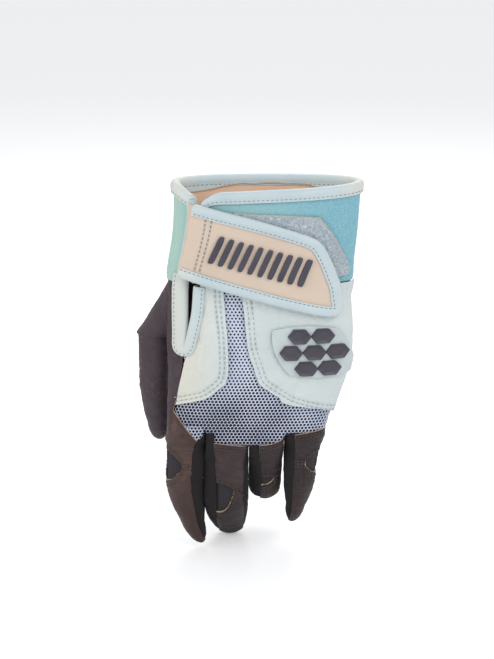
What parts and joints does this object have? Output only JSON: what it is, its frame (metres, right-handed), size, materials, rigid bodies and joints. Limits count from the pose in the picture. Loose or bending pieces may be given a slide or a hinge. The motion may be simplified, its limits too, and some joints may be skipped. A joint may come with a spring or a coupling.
{
  "type": "batting glove",
  "caption": "Batting glove for one hand: leather palm and fingers that bend, mesh back, sewn-on panels, padded cuff and a wrist strap that opens.",
  "frame": {"origin": "centre of the cuff's opening, on the rim plane", "axes": "+Z out of the cuff, away from the fingers; -Y out of the back of the hand; -X towards the thumb"},
  "size_m": [0.1302, 0.0841, 0.2277],
  "materials": {
    "dark_leather": "matt dark brown goatskin with a fine grain",
    "pale_leather": "smooth pale mint synthetic leather",
    "trim_leather": "smooth pale blue-grey tape",
    "strap_fabric": "smooth beige synthetic leather",
    "neoprene": "knit-faced teal foam",
    "knit": "black stretch knit",
    "knit_mesh": "white knit mesh with small round holes",
    "backing": "dark backing under the mesh",
    "cream_lining": "brushed peach lining",
    "loop_pile": "fuzzy loop tape",
    "hook_tape": "hook tape",
    "moulded_rubber": "dark grey moulded rubber",
    "stretch_insert": "dark grey stretch fabric",
    "elastic": "flat elastic"
  },
  "bodies": {
    "hand": {"palm_leather": "dark_leather", "back_mesh": "knit_mesh", "back_lining": "backing", "thumb_side_panel": "pale_leather", "pinky_side_panel": "pale_leather", "knuckle_guard": "moulded_rubber", "palm_cuff": "neoprene", "back_cuff": "neoprene", "cuff_lining": "cream_lining", "rim_binding": "trim_leather", "wrist_elastic": "elastic", "vent_binding": "trim_leather", "loop_patch": "loop_pile", "thumb_gusset": "dark_leather", "index_middle_web": "knit", "ring_pinky_web": "knit"},
    "strap": {"strap_face": "strap_fabric", "strap_binding": "trim_leather", "hook_patch": "hook_tape", "strap_ribs": "moulded_rubber"},
    "index_upper": {"index_back_upper": "dark_leather", "index_palm_upper": "dark_leather", "index_fork_upper": "knit", "index_knuckle_insert": "stretch_insert"},
    "index_lower": {"index_back_lower": "dark_leather", "index_palm_lower": "dark_leather", "index_fork_lower": "knit"},
    "middle_upper": {"middle_back_upper": "dark_leather", "middle_palm_upper": "dark_leather", "middle_outer_fork_upper": "knit", "middle_inner_fork_upper": "knit", "middle_knuckle_insert": "stretch_insert"},
    "middle_lower": {"middle_back_lower": "dark_leather", "middle_palm_lower": "dark_leather", "middle_outer_fork_lower": "knit", "middle_inner_fork_lower": "knit"},
    "ring_upper": {"ring_back_upper": "dark_leather", "ring_palm_upper": "dark_leather", "ring_outer_fork_upper": "knit", "ring_inner_fork_upper": "knit", "ring_knuckle_insert": "stretch_insert"},
    "ring_lower": {"ring_back_lower": "dark_leather", "ring_palm_lower": "dark_leather", "ring_outer_fork_lower": "knit", "ring_inner_fork_lower": "knit"},
    "pinky_upper": {"pinky_back_upper": "dark_leather", "pinky_palm_upper": "dark_leather", "pinky_fork_upper": "knit", "pinky_knuckle_insert": "stretch_insert"},
    "pinky_lower": {"pinky_back_lower": "dark_leather", "pinky_palm_lower": "dark_leather", "pinky_fork_lower": "knit"},
    "thumb_upper": {"thumb_back_upper": "dark_leather", "thumb_palm_upper": "dark_leather"},
    "thumb_lower": {"thumb_back_lower": "dark_leather", "thumb_palm_lower": "dark_leather"}
  },
  "joints": [
    {"name": "index_base", "type": "hinge", "parent": "hand", "child": "index_upper", "pos_m": [-0.0474, 0.0085, -0.149], "axis": [1, 0, 0], "range_deg": [-4, 66]},
    {"name": "index_middle", "type": "hinge", "parent": "index_upper", "child": "index_lower", "pos_m": [-0.0496, 0.01058, -0.17881], "axis": [1, 0, 0], "range_deg": [-13, 57]},
    {"name": "middle_base", "type": "hinge", "parent": "hand", "child": "middle_upper", "pos_m": [-0.0232, 0.0085, -0.159], "axis": [1, 0, 0], "range_deg": [-8, 62]},
    {"name": "middle_middle", "type": "hinge", "parent": "middle_upper", "child": "middle_lower", "pos_m": [-0.023, 0.01311, -0.1918], "axis": [1, 0, 0], "range_deg": [-42, 46]},
    {"name": "ring_base", "type": "hinge", "parent": "hand", "child": "ring_upper", "pos_m": [-0.0004, 0.0085, -0.159], "axis": [1, 0, 0], "range_deg": [-28, 42]},
    {"name": "ring_middle", "type": "hinge", "parent": "ring_upper", "child": "ring_lower", "pos_m": [-0.0011, 0.02168, -0.18379], "axis": [1, 0, 0], "range_deg": [-48, 40]},
    {"name": "pinky_base", "type": "hinge", "parent": "hand", "child": "pinky_upper", "pos_m": [0.0216, 0.0085, -0.152], "axis": [1, 0, 0], "range_deg": [-8, 62]},
    {"name": "pinky_middle", "type": "hinge", "parent": "pinky_upper", "child": "pinky_lower", "pos_m": [0.0195, 0.01171, -0.17482], "axis": [1, 0, 0], "range_deg": [-20, 68]},
    {"name": "thumb_base", "type": "hinge", "parent": "hand", "child": "thumb_upper", "pos_m": [-0.0605, 0.025, -0.097], "axis": [0.7986, -0.6018, 0], "range_deg": [-3, 40]},
    {"name": "thumb_tip", "type": "hinge", "parent": "thumb_upper", "child": "thumb_lower", "pos_m": [-0.06106, 0.02759, -0.13007], "axis": [0.7986, -0.6018, 0], "range_deg": [-10, 60]},
    {"name": "strap_root", "type": "hinge", "parent": "hand", "child": "strap", "pos_m": [-0.04659, -0.01301, -0.0344], "axis": [-0.1561, 0.0302, -0.9873], "range_deg": [0, 100]}
  ]
}
